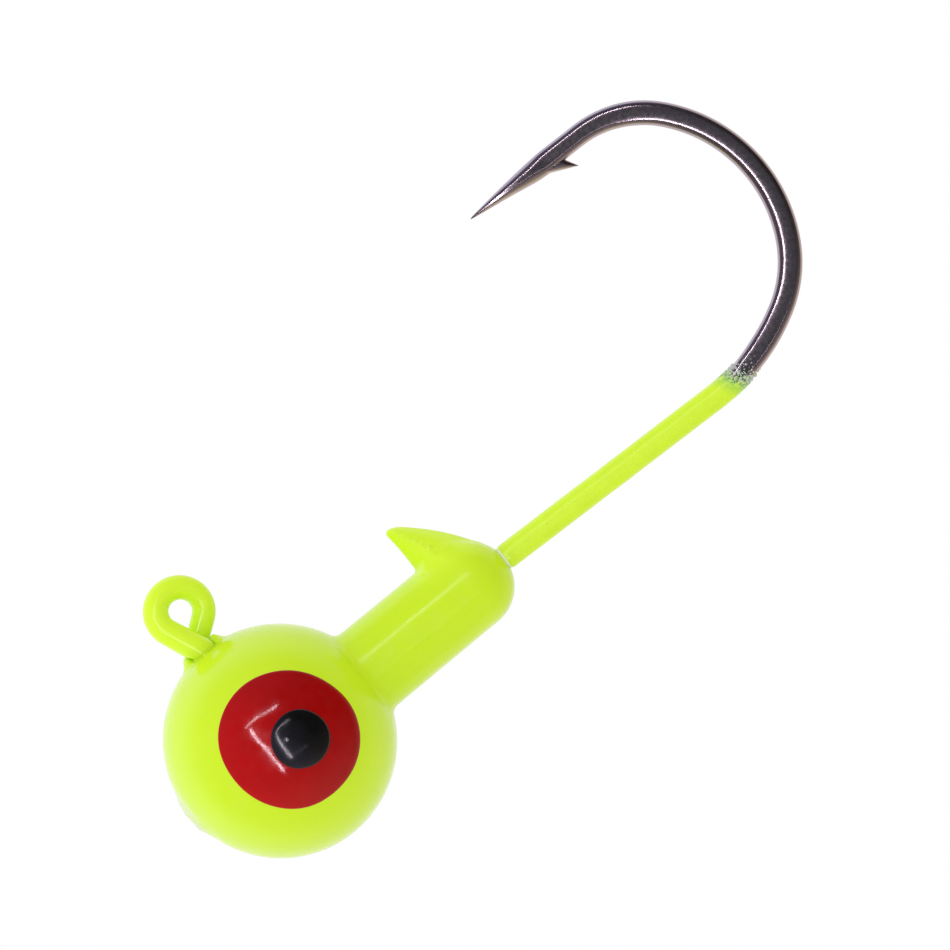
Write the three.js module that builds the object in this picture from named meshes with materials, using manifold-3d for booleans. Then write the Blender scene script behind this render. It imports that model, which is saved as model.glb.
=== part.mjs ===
// Ball-head fishing jig: a hook whose eye leg and shank are cast into a round lead head, with a
// short collar and a keeper barb behind the ball, painted over, and two enamel eyes on the sides.
//
// Millimetres. +X runs along the hook's shank towards its bend, +Z points up to the line tie and
// the hook's point, and -Y is the head's left side. Every piece is laid out from the ball's
// centre, and the finished group is moved so that the centre of the line tie is the origin.

import * as THREE from 'three';
import { mergeVertices } from 'three/addons/utils/BufferGeometryUtils.js';
import Module from 'manifold-3d';

const wasm = await Module();
wasm.setup();

const { cos, sin, sqrt, min, max, abs, PI } = Math;
const { degToRad, lerp, smoothstep } = THREE.MathUtils;

// Head, measured over its paint.
const BALL_R = 5.2;
const COLLAR_R = 2.0;
const COLLAR_ROOT_R = 2.09;
const COLLAR_END_X = 12.85;
const COLLAR_TILT = degToRad(2.6);
const HEAD_PAINT = 0.1;

// Keeper barb on top of the collar.
const KEEPER_TIP_Z = 4.55;
const KEEPER_FRONT_X = 9.43;
const KEEPER_LEAN = 0.19;
const KEEPER_BACK = { x: 12.0, z: 2.16, slope: 0.66, curve: 0.124 };
const KEEPER_TIP_ROUND = 0.3;
const KEEPER_ROOT_HALF = 1.05;
const KEEPER_TIP_HALF = 0.27;

// Low mound where the eye leg leaves the ball, and the trimmed casting gate on the nose.
const BOSS_X = -0.27;
const BOSS_TOP_Z = 5.66;
const BOSS_BASE_Z = 4.5;
const BOSS_TOP_R = 0.8;
const BOSS_BASE_R = 1.55;
const GATE_X = -5.3;
const GATE_Z = -0.3;
const GATE_FACE_R = 0.75;
const GATE_BASE_R = 1.3;
const GATE_DEPTH = 0.8;

// Hook wire. The line tie is a ring of it, and its cut end is tucked behind the eye leg.
const WIRE_R = 0.489;
const EYE_X = -0.06;
const EYE_Z = 7.27;
const EYE_R = 1.085;
const EYE_SWEEP = degToRad(258);
const TUCK_HEADING = degToRad(38);
const TUCK_LENGTH = 1.2;
const TUCK_SIDE = 0.62;
const LEG_SIDE = -0.5;
const KINK_R = 1.0;
const ELBOW_R = 1.6;
const SHANK_Z = 0.408;
const BEND_X = 24.63;
const BEND_ARCS = [[9.18, 31.2], [5.58, 31.6], [6.94, 69.3], [4.77, 48.4]];
const SPEAR_LENGTH = 6.07;

// Forged flats in the bend, and the ground point.
const FLAT_HALF = 0.41;
const FLAT_START_X = 27.0;
const FLAT_RUN = 1.5;
const POINT_R = 0.0825;
const POINT_TAPER = 0.1;
const POINT_ROUND = 0.25;

// Barb, cut up from the inner side of the spear: places along X and Z.
const BARB_HALF = 0.2;
const BARB_ROOT = [24.67, 12.8];
const BARB_TIP = [26.04, 12.22];
const BARB_NOTCH = [25.62, 12.93];
const BARB_SEAT_Z = 13.25;

// Paint on the wire.
const EYE_PAINT_R = 0.54;
const SHANK_PAINT_R = 0.562;
const SHANK_PAINT_END_X = 26.2;

// Enamel eyes: two dots on each side, with the pupil a little behind and below the iris's middle.
const IRIS_R = 3.085;
const IRIS_AIM = [0.1, -0.037];
const IRIS_THICK = 0.1;
const PUPIL_R = 1.315;
const PUPIL_AIM = [0.145, -0.084];
const PUPIL_THICK = 0.2;

// Space between solids that touch, and how finely round shapes are cut.
const GAP = 0.014;
const WIRE_SIDES = 14;
const BALL_SIDES = 36;
const COLLAR_SIDES = 24;
const STRAIGHT_STEP = 1.3;
const TIGHT_STEP = degToRad(16);
const WIDE_STEP = degToRad(6);
const WIDE_R = 3;

// A wire's centreline in the XZ plane: straight lengths and bends, one after the other.
class BentWire {
  constructor(x, z, heading) {
    this.pieces = [];
    this.length = 0;
    this.end = { x, z, heading };
  }

  add(length, curvature) {
    const piece = { from: this.length, length, curvature, start: this.end };
    this.pieces.push(piece);
    this.length += length;
    this.end = BentWire.along(piece, length);
    return this.length;
  }

  straight(length) {
    return this.add(length, 0);
  }

  bend(radius, angle) {
    return this.add(radius * abs(angle), Math.sign(angle) / radius);
  }

  static along({ start, curvature }, distance) {
    const heading = start.heading + distance * curvature;
    if (curvature === 0) {
      return {
        x: start.x + distance * cos(heading),
        z: start.z + distance * sin(heading),
        heading,
      };
    }
    return {
      x: start.x + (sin(heading) - sin(start.heading)) / curvature,
      z: start.z - (cos(heading) - cos(start.heading)) / curvature,
      heading,
    };
  }

  at(distance) {
    const last = this.pieces[this.pieces.length - 1];
    const piece = this.pieces.find((p) => distance < p.from + p.length) ?? last;
    return BentWire.along(piece, distance - piece.from);
  }

  // Distances at which a surface round the wire gets a ring of points.
  stations(from, to) {
    const found = [from];
    for (const piece of this.pieces) {
      const wide = abs(piece.curvature) * WIDE_R < 1;
      const arcStep = (wide ? WIDE_STEP : TIGHT_STEP) / abs(piece.curvature);
      const count = Math.ceil(piece.length / min(arcStep, STRAIGHT_STEP * 1.001));
      for (let i = 1; i <= count; i += 1) {
        found.push(piece.from + (piece.length * i) / count);
      }
    }
    found.push(to);
    return found.filter((s, i) => i === 0 || (s > from + 0.02 && (s < to - 0.02 || s === to)));
  }
}

// The hook's centreline, from the tucked end round the eye, down the leg and along the shank.
function hookCentreline() {
  const ringAngle = TUCK_HEADING - PI / 2;
  const ringX = EYE_X + EYE_R * cos(ringAngle);
  const ringZ = EYE_Z + EYE_R * sin(ringAngle);
  const line = new BentWire(
    ringX - TUCK_LENGTH * cos(TUCK_HEADING),
    ringZ - TUCK_LENGTH * sin(TUCK_HEADING),
    TUCK_HEADING,
  );
  const marks = { ringStart: line.straight(TUCK_LENGTH) };
  marks.ringEnd = line.bend(EYE_R, EYE_SWEEP);

  // The leg leans until a small kink sets it upright, right below the eye's centre.
  const kink = -PI / 2 - (line.end.heading - 2 * PI);
  const kinkShift = KINK_R * (1 - cos(kink));
  const legLean = (EYE_X - kinkShift - line.end.x) / cos(line.end.heading);
  marks.kinkStart = line.straight(legLean);
  line.bend(KINK_R, kink);
  marks.elbowStart = line.straight(line.end.z - SHANK_Z - ELBOW_R);
  line.bend(ELBOW_R, PI / 2);
  marks.shankStart = line.length;
  marks.bendStart = line.straight(BEND_X - line.end.x);
  for (const [radius, degrees] of BEND_ARCS) {
    line.bend(radius, degToRad(degrees));
  }
  marks.spearStart = line.length;
  marks.point = line.straight(SPEAR_LENGTH);
  return { line, marks };
}

const { line: HOOK, marks: MARK } = hookCentreline();
const alongShank = (x) => MARK.bendStart - (BEND_X - x);

// The eye is a slight helix, so that the tucked end passes behind the leg.
function sideways(distance) {
  const round = smoothstep(distance, MARK.ringStart, MARK.ringEnd);
  const home = smoothstep(distance, MARK.kinkStart, MARK.elbowStart);
  return lerp(lerp(TUCK_SIDE, LEG_SIDE, round), 0, home);
}

function centre(distance) {
  const { x, z } = HOOK.at(distance);
  return new THREE.Vector3(x, sideways(distance), z);
}

// Half width in the hook's plane and half thickness across it.
function wireSection(distance) {
  const flatStart = alongShank(FLAT_START_X);
  const forged = smoothstep(distance, flatStart, flatStart + FLAT_RUN);
  const fromPoint = max(MARK.point - distance, 0);
  const rounding = sqrt(1 - max(0, 1 - fromPoint / POINT_ROUND) ** 2);
  const half = min(WIRE_R, POINT_R + POINT_TAPER * fromPoint) * max(rounding, 0.15);
  return { half, flat: min(half, lerp(WIRE_R, FLAT_HALF, forged)) };
}

const snap = (value) => Math.round(value * 1e9) / 1e9;

// A unit cylinder with its rows laid where place(row, x, z) says.
function mappedCylinder(sides, rows, place) {
  const geometry = new THREE.CylinderGeometry(1, 1, 1, sides, rows);
  const position = geometry.attributes.position;
  for (let i = 0; i < position.count; i += 1) {
    const row = Math.round((position.getY(i) + 0.5) * rows);
    const point = place(row, snap(position.getX(i)), snap(position.getZ(i)));
    position.setXYZ(i, point.x, point.y, point.z);
  }
  return geometry;
}

// A surface round the hook's centreline, of the section that sectionAt gives at each distance.
function sleeve(from, to, sectionAt) {
  const stations = HOOK.stations(from, to);
  const step = 1e-3;
  return mappedCylinder(WIRE_SIDES, stations.length - 1, (row, across, through) => {
    const distance = stations[row];
    const { heading } = HOOK.at(distance);
    const { half, flat } = sectionAt(distance);
    const along = centre(distance + step).sub(centre(distance - step)).normalize();
    const normal = new THREE.Vector3(-sin(heading), 0, cos(heading));
    const side = normal.clone().cross(along);
    const y = max(-flat, min(flat, through * half));
    return centre(distance).addScaledVector(normal, across * half).addScaledVector(side, y);
  });
}

const roundSleeve = (from, to, radius) => sleeve(from, to, () => ({ half: radius, flat: radius }));

// A closed mesh that shares its corners and has no empty triangles.
function welded(geometry) {
  const bare = geometry.clone();
  bare.deleteAttribute('normal');
  bare.deleteAttribute('uv');
  const merged = mergeVertices(bare, 1e-5);
  const corners = [];
  for (let i = 0; i < merged.index.count; i += 3) {
    const [a, b, c] = [0, 1, 2].map((k) => merged.index.getX(i + k));
    if (a !== b && b !== c && c !== a) {
      corners.push(a, b, c);
    }
  }
  merged.setIndex(corners);
  return merged;
}

function solid(geometry) {
  const mesh = welded(geometry);
  return new wasm.Manifold(new wasm.Mesh({
    numProp: 3,
    vertProperties: new Float32Array(mesh.attributes.position.array),
    triVerts: new Uint32Array(mesh.index.array),
  }));
}

function geometryOf(manifold) {
  const { numProp, vertProperties, triVerts } = manifold.getMesh();
  const positions = [];
  for (let i = 0; i < vertProperties.length; i += numProp) {
    positions.push(vertProperties[i], vertProperties[i + 1], vertProperties[i + 2]);
  }
  const geometry = new THREE.BufferGeometry();
  geometry.setAttribute('position', new THREE.Float32BufferAttribute(positions, 3));
  geometry.setIndex([...triVerts]);
  geometry.computeVertexNormals();
  return geometry;
}

const united = (solids) => solids.reduce((sum, next) => sum.add(next));

// Shapes of the head. inset moves each surface inwards from the painted one.
function ball(inset) {
  const geometry = new THREE.SphereGeometry(BALL_R - inset, BALL_SIDES, BALL_SIDES / 2);
  return solid(geometry.rotateX(PI / 2));
}

// A slightly tapered cylinder with a hemispherical end, round an axis that meets the shank's.
function collar(inset) {
  const domeX = COLLAR_END_X - COLLAR_R;
  const outline = [
    new THREE.Vector2(0, 2),
    new THREE.Vector2(COLLAR_ROOT_R - inset, 2),
  ];
  const steps = COLLAR_SIDES / 4;
  for (let i = 0; i <= steps; i += 1) {
    const angle = (i / steps) * (PI / 2);
    const radius = i === steps ? 0 : (COLLAR_R - inset) * cos(angle);
    outline.push(new THREE.Vector2(radius, domeX + (COLLAR_R - inset) * sin(angle)));
  }
  const geometry = new THREE.LatheGeometry(outline, COLLAR_SIDES);
  geometry.rotateZ(-PI / 2).translate(-COLLAR_END_X, 0, 0);
  return solid(geometry.rotateY(-COLLAR_TILT).translate(COLLAR_END_X, 0, SHANK_Z));
}

// A leaning horn with a steep, hollow front, a sloping back and a rounded tip.
function keeper(inset) {
  const top = KEEPER_TIP_Z - inset;
  const bottom = 1.0;
  const rows = 14;
  const roundFrom = top - KEEPER_TIP_ROUND;
  return solid(mappedCylinder(20, rows, (row, along, across) => {
    const z = lerp(bottom, top, sin((row / rows) * (PI / 2)));
    const rise = max(0, (z - SHANK_Z - COLLAR_R) / (KEEPER_TIP_Z - SHANK_Z - COLLAR_R));
    const front = KEEPER_FRONT_X - KEEPER_LEAN * rise ** 3 + inset;
    const climb = max(0, z + inset - KEEPER_BACK.z);
    const back = KEEPER_BACK.x - KEEPER_BACK.slope * climb - KEEPER_BACK.curve * climb ** 2 - inset;
    const rounding = sqrt(max(0.004, 1 - max(0, (z - roundFrom) / KEEPER_TIP_ROUND) ** 2));
    const half = ((back - front) / 2) * rounding;
    const width = (lerp(KEEPER_ROOT_HALF, KEEPER_TIP_HALF, sqrt(rise)) - inset) * rounding;
    return new THREE.Vector3((front + back) / 2 + half * along, -width * across, z);
  }));
}

function boss(inset) {
  const topR = BOSS_TOP_R - inset;
  const height = BOSS_TOP_Z - BOSS_BASE_Z - inset;
  const geometry = new THREE.CylinderGeometry(topR, BOSS_BASE_R - inset, height, 24);
  geometry.rotateX(PI / 2);
  return solid(geometry.translate(BOSS_X, 0, BOSS_BASE_Z + height / 2));
}

function gate(inset) {
  const height = GATE_DEPTH - inset;
  const geometry = new THREE.CylinderGeometry(
    GATE_FACE_R - inset,
    GATE_BASE_R - inset,
    height,
    24,
  );
  geometry.rotateZ(PI / 2);
  return solid(geometry.translate(GATE_X + inset + height / 2, 0, GATE_Z));
}

const headShape = (inset) => united([ball, collar, keeper, boss, gate].map((f) => f(inset)));

// Barb: a thin tongue, wedge-shaped seen from the side.
function barb() {
  const outline = new THREE.Shape();
  outline.moveTo(...BARB_ROOT);
  outline.lineTo(...BARB_TIP);
  outline.lineTo(...BARB_NOTCH);
  outline.lineTo(BARB_NOTCH[0], BARB_SEAT_Z);
  outline.lineTo(BARB_ROOT[0], BARB_SEAT_Z);
  const geometry = new THREE.ExtrudeGeometry(outline, { depth: 2 * BARB_HALF, bevelEnabled: false });
  return solid(geometry.translate(0, 0, -BARB_HALF).rotateX(PI / 2));
}

function hookGeometry() {
  return geometryOf(solid(sleeve(0, MARK.point, wireSection)).add(barb()));
}

const wireChannel = (from, to) => solid(roundSleeve(from, to, WIRE_R + GAP));

// The wire's channel through the head. It takes in the tucked end, which dips into the mound.
const headChannel = () => wireChannel(-GAP, alongShank(COLLAR_END_X + 1));

function castingGeometry() {
  return geometryOf(headShape(HEAD_PAINT + GAP).subtract(headChannel()));
}

// One film over the casting and round the line tie, left open where the shank comes out.
function headCoatGeometry() {
  const cap = EYE_PAINT_R - WIRE_R;
  const eyeFilm = solid(roundSleeve(-cap, MARK.elbowStart - 1, EYE_PAINT_R));
  const outside = united([headShape(0), eyeFilm]);
  return geometryOf(outside.subtract(headShape(HEAD_PAINT)).subtract(headChannel()));
}

function shankCoatGeometry() {
  const from = alongShank(COLLAR_END_X + GAP);
  const to = alongShank(SHANK_PAINT_END_X);
  const outside = solid(roundSleeve(from, to, SHANK_PAINT_R));
  return geometryOf(outside.subtract(wireChannel(from - 1, to + 1)));
}

// A dot of enamel on a ball of radius seat: a cap of the ball with a rounded edge.
function dotGeometry(radius, seat, thickness) {
  const rings = 5;
  const back = seat + GAP;
  const reach = Math.asin(radius / seat);
  const outline = [];
  for (let i = 0; i <= rings; i += 1) {
    const angle = (reach * i) / rings;
    outline.push(new THREE.Vector2(back * sin(angle), back * cos(angle)));
  }
  for (let i = rings - 1; i >= 0; i -= 1) {
    const share = i / rings;
    const front = back + thickness * sqrt(1 - share ** 4);
    outline.push(new THREE.Vector2(front * sin(reach * share), front * cos(reach * share)));
  }
  return welded(new THREE.LatheGeometry(outline, BALL_SIDES));
}

const paint = (color, roughness) => new THREE.MeshStandardMaterial({ color, roughness, metalness: 0 });
const metal = (color, roughness) => new THREE.MeshStandardMaterial({ color, roughness, metalness: 1 });

const blackNickel = metal(0x3a3346, 0.22);
const lead = metal(0x7c8086, 0.6);
const chartreuse = paint(0xd5f236, 0.25);
const redEnamel = paint(0xa9171a, 0.15);
const blackEnamel = paint(0x212123, 0.15);

function named(name, geometry, material) {
  const mesh = new THREE.Mesh(geometry, material);
  mesh.name = name;
  return mesh;
}

// A dot looks out along aim on one side of the ball: side is -1 on the left, +1 on the right.
function placedDot(name, geometry, material, aim, side) {
  const dot = named(name, geometry, material);
  const [x, z] = aim;
  const outward = new THREE.Vector3(x, side * sqrt(1 - x * x - z * z), z);
  dot.quaternion.setFromUnitVectors(new THREE.Vector3(0, 1, 0), outward);
  return dot;
}

function makeJigHead() {
  const head = new THREE.Group();
  head.position.set(-EYE_X, 0, -EYE_Z);
  head.add(named('hook', hookGeometry(), blackNickel));
  head.add(named('head_casting', castingGeometry(), lead));
  head.add(named('head_coat', headCoatGeometry(), chartreuse));
  head.add(named('shank_coat', shankCoatGeometry(), chartreuse));

  const iris = dotGeometry(IRIS_R, BALL_R, IRIS_THICK);
  const pupil = dotGeometry(PUPIL_R, BALL_R + IRIS_THICK + GAP, PUPIL_THICK);
  for (const [place, side] of [['left', -1], ['right', 1]]) {
    head.add(placedDot(`iris_${place}`, iris, redEnamel, IRIS_AIM, side));
    head.add(placedDot(`pupil_${place}`, pupil, blackEnamel, PUPIL_AIM, side));
  }

  const jigHead = new THREE.Group();
  jigHead.name = 'jig_head';
  jigHead.add(head);
  return jigHead;
}

export default makeJigHead();
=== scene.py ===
"""Paint, enamel and wire for a ball-head jig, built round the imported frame.

Every length is in millimetres from the ball's centre, until placed() puts it in the frame.
+X runs along the shank towards the bend, +Z up to the line tie, and -Y is the left side.
"""

import math

import bmesh
import bpy
import numpy as np
from mathutils import Matrix, Vector, noise


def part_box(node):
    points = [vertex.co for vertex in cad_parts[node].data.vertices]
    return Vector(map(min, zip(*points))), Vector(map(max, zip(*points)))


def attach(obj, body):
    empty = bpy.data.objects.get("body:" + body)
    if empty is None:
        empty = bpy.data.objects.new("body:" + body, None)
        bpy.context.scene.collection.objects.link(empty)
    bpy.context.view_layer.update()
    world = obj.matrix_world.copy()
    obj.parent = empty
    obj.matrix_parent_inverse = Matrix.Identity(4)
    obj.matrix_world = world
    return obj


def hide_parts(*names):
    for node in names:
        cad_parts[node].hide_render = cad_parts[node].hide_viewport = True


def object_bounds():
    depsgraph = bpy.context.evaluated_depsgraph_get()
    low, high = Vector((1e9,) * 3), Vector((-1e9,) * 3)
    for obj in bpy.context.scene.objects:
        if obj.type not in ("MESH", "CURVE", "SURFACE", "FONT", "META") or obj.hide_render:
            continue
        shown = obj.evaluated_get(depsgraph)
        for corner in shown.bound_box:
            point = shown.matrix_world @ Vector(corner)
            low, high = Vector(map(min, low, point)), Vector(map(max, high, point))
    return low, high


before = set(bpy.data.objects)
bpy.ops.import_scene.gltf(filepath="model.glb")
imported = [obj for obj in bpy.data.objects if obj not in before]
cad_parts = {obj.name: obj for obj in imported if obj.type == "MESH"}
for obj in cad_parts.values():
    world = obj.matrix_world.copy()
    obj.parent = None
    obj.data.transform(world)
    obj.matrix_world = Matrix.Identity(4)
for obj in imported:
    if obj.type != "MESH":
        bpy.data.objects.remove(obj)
CAD_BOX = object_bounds()

MM = 0.001

# The frame gives the ball's size and place; the gate's stub is the head's foremost point.
HEAD_LOW, HEAD_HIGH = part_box("head_coat")
GATE_REACH = 5.3
BALL_R = HEAD_HIGH.y / MM
BALL = Vector((HEAD_LOW.x + GATE_REACH * MM, 0, HEAD_LOW.z + BALL_R * MM))

# The ball is a touch shorter towards the nose.
NOSE_FLAT = 0.987

# Collar, with a hemispherical end where the shank comes out.
COLLAR_R = 1.97
COLLAR_ROOT_R = 2.03
COLLAR_END_X = 12.85
COLLAR_TILT = math.radians(2.1)
COLLAR_FILLET = 0.3

# Keeper barb. A ridge of 2 would make its section an ellipse, and 1 a diamond.
KEEPER_TIP_Z = 4.52
KEEPER_FRONT_X = 9.43
KEEPER_LEAN = 0.14
KEEPER_BACK_X = 12.0
KEEPER_BACK_Z = 2.16
KEEPER_BACK_SLOPE = 0.66
KEEPER_BACK_CURVE = 0.124
KEEPER_ROOT_HALF = 1.12
KEEPER_TIP_HALF = 0.27
KEEPER_TIP_ROUND = 0.3
KEEPER_RIDGE = 1.4
KEEPER_SUNK = 0.8
# Its fillet grows from the middle to the sides, between these distances from the middle.
KEEPER_FILLET = (0.2, 0.6)
KEEPER_FILLET_Y = (0.15, 0.9)

# Mound under the line tie: lead that rose round the two wires, as middles and half sizes.
LOBES = (
    ((-0.27, 0.15, 4.85), (0.95, 0.66, 0.72)),
    ((-1.0, -0.12, 4.88), (0.40, 0.66, 0.66)),
    ((0.45, 0.0, 4.9), (0.34, 0.62, 0.7)),
)
LOBE_FILLET = 0.16
BALL_FILLET = 0.34
TUCK_FILLET = 0.12
LEG_FILLET = 0.03
# The paint leaves a crease where the leg meets the rest, between these heights.
CREASE_DEPTH = 0.12
CREASE_HALF = 0.08
CREASE_Z = (4.8, 6.5)
CREASE_FADE = (0.25, 0.6)

# Trimmed gate on the nose, and the mould's parting line all round the head.
GATE_Z = -0.44
GATE_RISE = 0.125
GATE_R = (0.55, 1.45)
GATE_WOBBLE = ((3, 0.1, 0.6 - math.pi / 2), (7, 0.05, -math.pi / 2))
CORE_DEPTH = 0.14
SEAM_HEIGHT = 0.02
SEAM_HALF = 0.14

# Hook wire. The bend's arcs are radii and degrees, from the shank to the spear.
WIRE_R = 0.489
EYE_X = -0.02
EYE_Z = 7.27
EYE_R = 1.06
EYE_SWEEP = math.radians(256)
TUCK_HEADING = math.radians(38)
TUCK_LENGTH = 1.2
TUCK_SIDE = 0.62
LEG_SIDE = -0.5
KINK_R = 1.0
ELBOW_R = 1.6
SHANK_Z = 0.408
BEND_X = 24.63
BEND_ARCS = ((9.18, 31.2), (5.58, 31.6), (6.94, 69.3), (4.77, 48.4))
SPEAR_LENGTH = 6.07

# Forging presses the bend flat on both sides, and spreads it.
FLAT_HALF = 0.41
FLAT_START_X = 25.4
FLAT_RUN = 1.3
FLAT_EDGE = 0.18
FLAT_END = (3.2, 4.3)
NO_FLAT = WIRE_R + 0.05
FORGED_WIDER = 1.135
FORGED_INWARD = 0.035
SPREAD_START = (-0.4, 2.6)
SPREAD_END = (-3.0, 0.5)

# Grinding narrows the spear towards the point: its half width and its half depth are
# each the point's, plus a slope and less a curve. Distances are back from the point.
POINT_R = 0.03
POINT_TAPER = 0.15
POINT_CURVE = 0.0095
POINT_REACH = 7.0
DEPTH_TAPER = 0.24
DEPTH_CURVE = 0.033
DEPTH_REACH = 3.6
DEPTH_END = 5.0
POINT_ROUND = 0.22
POINT_LEAST = 0.04
SPEAR_SWELL = 0.09
SWELL_FROM_POINT = 3.6
SWELL_RUN = 1.1

# Barb, from its root on the inner side of the spear to its tip, as X and Z.
BARB_START = (24.7, 12.80)
BARB_HEEL = (25.56, 13.12)
BARB_TIP = (26.06, 12.23)
BARB_HALF = 0.3

# Paint on the wire. The eye's film grows thicker further round it: these are its radii
# at shares of the way from the tucked end to the elbow.
EYE_PAINT_R = ((0.0, 0.52), (0.22, 0.53), (0.36, 0.555), (0.5, 0.575), (0.68, 0.605), (1.0, 0.63))
SHANK_PAINT_R = 0.588
PAINT_START_X = 12.74
CRACK_X = 12.88
CRACK_THIN = 0.45
CRACK_EDGE = (0.045, 0.03)
FILM_LUMPS = 0.006
FRAY_X = (25.4, 26.9)
FRAY_SLANT = 0.5

# Distances between rings of points, and points round a ring.
COARSE_STEP = 0.35
PLAIN_STEP = 0.12
WIRE_STEP = 0.09
FRAY_STEP = 0.021
WIRE_SIDES = 160
FILM_SIDES = 136
DOT_SIDES = 128

# Enamel dots. An aim is the X and Z of the unit direction from the ball's centre.
IRIS_R = 3.085
IRIS_AIM = (0.124, -0.037)
IRIS_THICK = 0.06
PUPIL_R = 1.315
PUPIL_AIM = (0.183, -0.086)
PUPIL_THICK = 0.07
PUPIL_DOME_R = 2.85
DOT_SUNK = 0.04

# Camera: level, square to the left side, and rolled so that the shank climbs to the upper right.
ROLL = math.radians(37.37)
LENS = 420.0
SENSOR = 36.0
FRAME_FILL = 0.797
FRAME_SHIFT = (0.003, 0.005)


def placed(points):
    """Points in millimetres from the ball's centre, in the frame, in metres."""
    return np.asarray(points, float) * MM + np.array(BALL)


def smoothstep(x, low, high):
    t = np.clip((x - low) / (high - low), 0, 1)
    return t * t * (3 - 2 * t)


def lerp(a, b, t):
    return a + (b - a) * t


def smooth_min(a, b, reach):
    """The lower of two distances, with a fillet where they meet."""
    h = np.clip(0.5 + 0.5 * (b - a) / reach, 0, 1)
    return b * (1 - h) + a * h - reach * h * (1 - h)


def smooth_max(a, b, reach):
    return -smooth_min(-a, -b, reach)


def ripple(points, size, seed):
    """Seeded noise from -1 to 1 at each point, with features of about that size."""
    offset = Vector((seed * 17.3, seed * 5.1, seed * 9.7))
    return np.array([noise.noise(Vector(p) / size + offset) for p in points])


# ---------------------------------------------------------------- the wire's centreline


class BentWire:
    """Straight lengths and bends in the XZ plane, one after the other."""

    def __init__(self, x, z, heading):
        self.pieces = []
        self.length = 0.0
        self.end = (x, z, heading)

    def add(self, length, curvature):
        self.pieces.append((self.length, self.end, curvature))
        self.end = tuple(v[0] for v in self.along(self.end, curvature, np.array([length])))
        self.length += length
        return self.length

    def straight(self, length):
        return self.add(length, 0.0)

    def bend(self, radius, angle):
        return self.add(radius * abs(angle), math.copysign(1 / radius, angle))

    @staticmethod
    def along(start, curvature, distance):
        x, z, heading = start
        turned = heading + distance * curvature
        if curvature == 0:
            return x + distance * np.cos(turned), z + distance * np.sin(turned), turned
        dx = (np.sin(turned) - math.sin(heading)) / curvature
        dz = (math.cos(heading) - np.cos(turned)) / curvature
        return x + dx, z + dz, turned

    def at(self, distance):
        """x, z and heading at each distance along the wire."""
        distance = np.asarray(distance, float)
        out = np.zeros((3,) + distance.shape)
        for begins, start, curvature in self.pieces:
            here = distance >= begins
            found = self.along(start, curvature, distance[here] - begins)
            for row, values in zip(out, found):
                row[here] = values
        return out


def hook_centreline():
    """The wire from its tucked end round the eye, down the leg, along the shank to the point."""
    ring = TUCK_HEADING - math.pi / 2
    line = BentWire(
        EYE_X + EYE_R * math.cos(ring) - TUCK_LENGTH * math.cos(TUCK_HEADING),
        EYE_Z + EYE_R * math.sin(ring) - TUCK_LENGTH * math.sin(TUCK_HEADING),
        TUCK_HEADING,
    )
    mark = {"ring_start": line.straight(TUCK_LENGTH)}
    mark["ring_end"] = line.bend(EYE_R, EYE_SWEEP)
    x, z, heading = line.end
    kink = -math.pi / 2 - (heading - 2 * math.pi)
    lean = (EYE_X - KINK_R * (1 - math.cos(kink)) - x) / math.cos(heading)
    mark["kink_start"] = line.straight(lean)
    line.bend(KINK_R, kink)
    mark["elbow_start"] = line.straight(line.end[1] - SHANK_Z - ELBOW_R)
    line.bend(ELBOW_R, math.pi / 2)
    mark["bend_start"] = line.straight(BEND_X - line.end[0])
    for radius, degrees in BEND_ARCS:
        line.bend(radius, math.radians(degrees))
    mark["spear_start"] = line.length
    mark["point"] = line.straight(SPEAR_LENGTH)
    return line, mark


HOOK, MARK = hook_centreline()


def along_shank(x):
    """Distance along the wire of a place on the straight shank."""
    return MARK["bend_start"] - (BEND_X - x)


def sideways(distance):
    """The eye is a slight helix, so that the tucked end passes behind the leg."""
    turn = smoothstep(distance, MARK["ring_start"], MARK["ring_end"])
    home = smoothstep(distance, MARK["kink_start"], MARK["elbow_start"])
    return lerp(lerp(TUCK_SIDE, LEG_SIDE, turn), 0.0, home)


def centre(distance):
    x, z, _ = HOOK.at(distance)
    return np.stack([x, sideways(distance), z], axis=-1)


def wire_axes(distance):
    """Across the wire in the hook's plane, and through the wire, at each distance."""
    heading = HOOK.at(distance)[2]
    step = 1e-3
    run = centre(distance + step) - centre(distance - step)
    run /= np.linalg.norm(run, axis=-1, keepdims=True)
    across = np.stack([-np.sin(heading), np.zeros_like(heading), np.cos(heading)], axis=-1)
    return across, np.cross(across, run)


def swept(distance, sides, offsets):
    """A grid of points round the wire. offsets(distance, angle) gives them across and through."""
    angle = np.linspace(0, 2 * math.pi, sides, endpoint=False)[None, :]
    s = distance[:, None]
    across, through = np.broadcast_arrays(*offsets(s, angle))
    a_axis, t_axis = wire_axes(distance)
    flat = across[..., None] * a_axis[:, None] + through[..., None] * t_axis[:, None]
    return centre(distance)[:, None] + flat


def round_offsets(radius):
    return lambda s, angle: (radius * np.cos(angle) + 0 * s, radius * np.sin(angle) + 0 * s)


def ground_half(to_point):
    """Half the spear's width and half its depth at each distance back from the point."""
    rounding = np.sqrt(1 - np.maximum(0, 1 - to_point / POINT_ROUND) ** 2)
    rounding = np.maximum(rounding, POINT_LEAST)
    ground = POINT_R + POINT_TAPER * to_point - POINT_CURVE * np.minimum(to_point, POINT_REACH) ** 2
    near = np.minimum(to_point, DEPTH_REACH)
    deep = POINT_R + DEPTH_TAPER * near - DEPTH_CURVE * near**2
    deep = lerp(deep, WIRE_R, smoothstep(to_point, DEPTH_REACH, DEPTH_END))
    return np.minimum(WIRE_R, ground) * rounding, deep * rounding


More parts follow.
